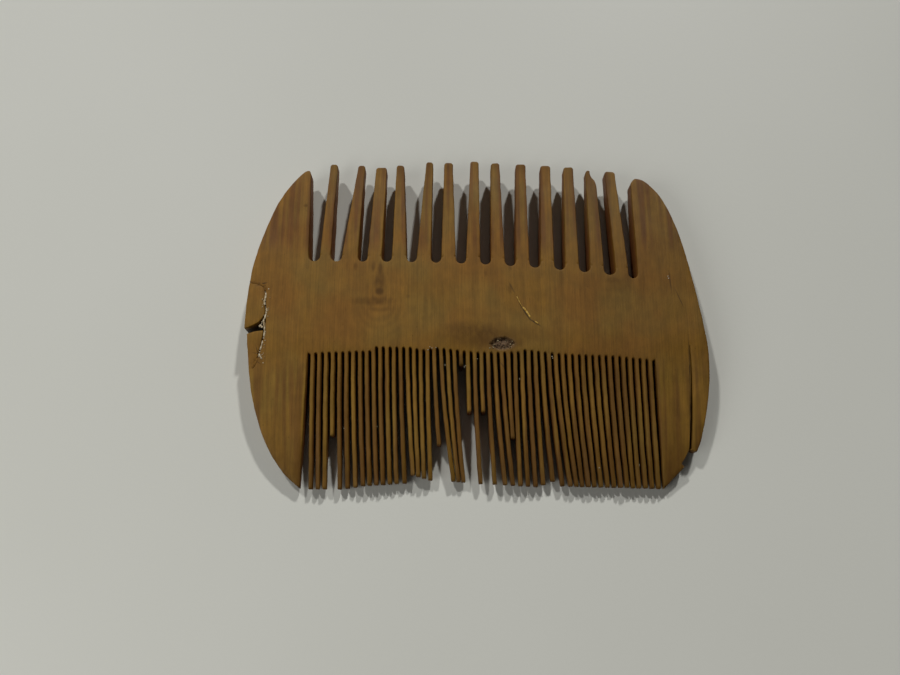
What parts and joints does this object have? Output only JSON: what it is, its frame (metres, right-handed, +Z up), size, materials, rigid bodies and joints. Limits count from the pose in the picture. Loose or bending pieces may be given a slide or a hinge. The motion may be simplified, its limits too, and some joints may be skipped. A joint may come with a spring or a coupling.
{
  "type": "double-sided comb",
  "caption": "Old double-sided wooden comb: coarse teeth on one long side, fine teeth on the other, a solid bar between and a curved solid guard at each end.",
  "frame": {"origin": "under the middle of the comb's box, on the surface that it lies on", "axes": "+X along the bar from the left guard to the right guard, +Y towards the coarse teeth, +Z up through the board's thickness"},
  "size_m": [0.0808, 0.06, 0.0056],
  "materials": {
    "plank_wood": "worn matt, fine vertical grain",
    "fine_wood": "worn matt, darker towards the tips",
    "crack_fill": "crumbly matt"
  },
  "bodies": {
    "root": {"centre_bar": "plank_wood", "coarse_tooth_01": "plank_wood", "coarse_tooth_02": "plank_wood", "coarse_tooth_03": "plank_wood", "coarse_tooth_04": "plank_wood", "coarse_tooth_05": "plank_wood", "coarse_tooth_06": "plank_wood", "coarse_tooth_07": "plank_wood", "coarse_tooth_08": "plank_wood", "coarse_tooth_09": "plank_wood", "coarse_tooth_10": "plank_wood", "coarse_tooth_11": "plank_wood", "coarse_tooth_12": "plank_wood", "coarse_tooth_13": "plank_wood", "crack_fill": "crack_fill", "fine_teeth_01_02": "fine_wood", "fine_teeth_03_04": "fine_wood", "fine_teeth_05_06": "fine_wood", "fine_teeth_07_08": "fine_wood", "fine_teeth_09_10": "fine_wood", "fine_teeth_11_12": "fine_wood", "fine_teeth_13_14": "fine_wood", "fine_teeth_15_16": "fine_wood", "fine_teeth_17_18": "fine_wood", "fine_teeth_19_20": "fine_wood", "fine_teeth_21_22": "fine_wood", "fine_teeth_23_24": "fine_wood", "fine_teeth_25_26": "fine_wood", "fine_teeth_27_28": "fine_wood", "fine_teeth_29_30": "fine_wood", "fine_teeth_31_32": "fine_wood", "fine_teeth_33_34": "fine_wood", "fine_teeth_35_36": "fine_wood", "fine_teeth_37_38": "fine_wood", "fine_teeth_39_40": "fine_wood", "fine_teeth_41_42": "fine_wood", "fine_teeth_43_44": "fine_wood", "fine_teeth_45_46": "fine_wood", "fine_teeth_47_48": "fine_wood", "fine_teeth_49_50": "fine_wood", "fine_teeth_51": "fine_wood", "left_end_guard": "plank_wood", "left_lower_edge_fragment": "plank_wood", "left_upper_edge_fragment": "plank_wood", "right_edge_sliver": "plank_wood", "right_end_guard": "plank_wood"}
  },
  "joints": []
}
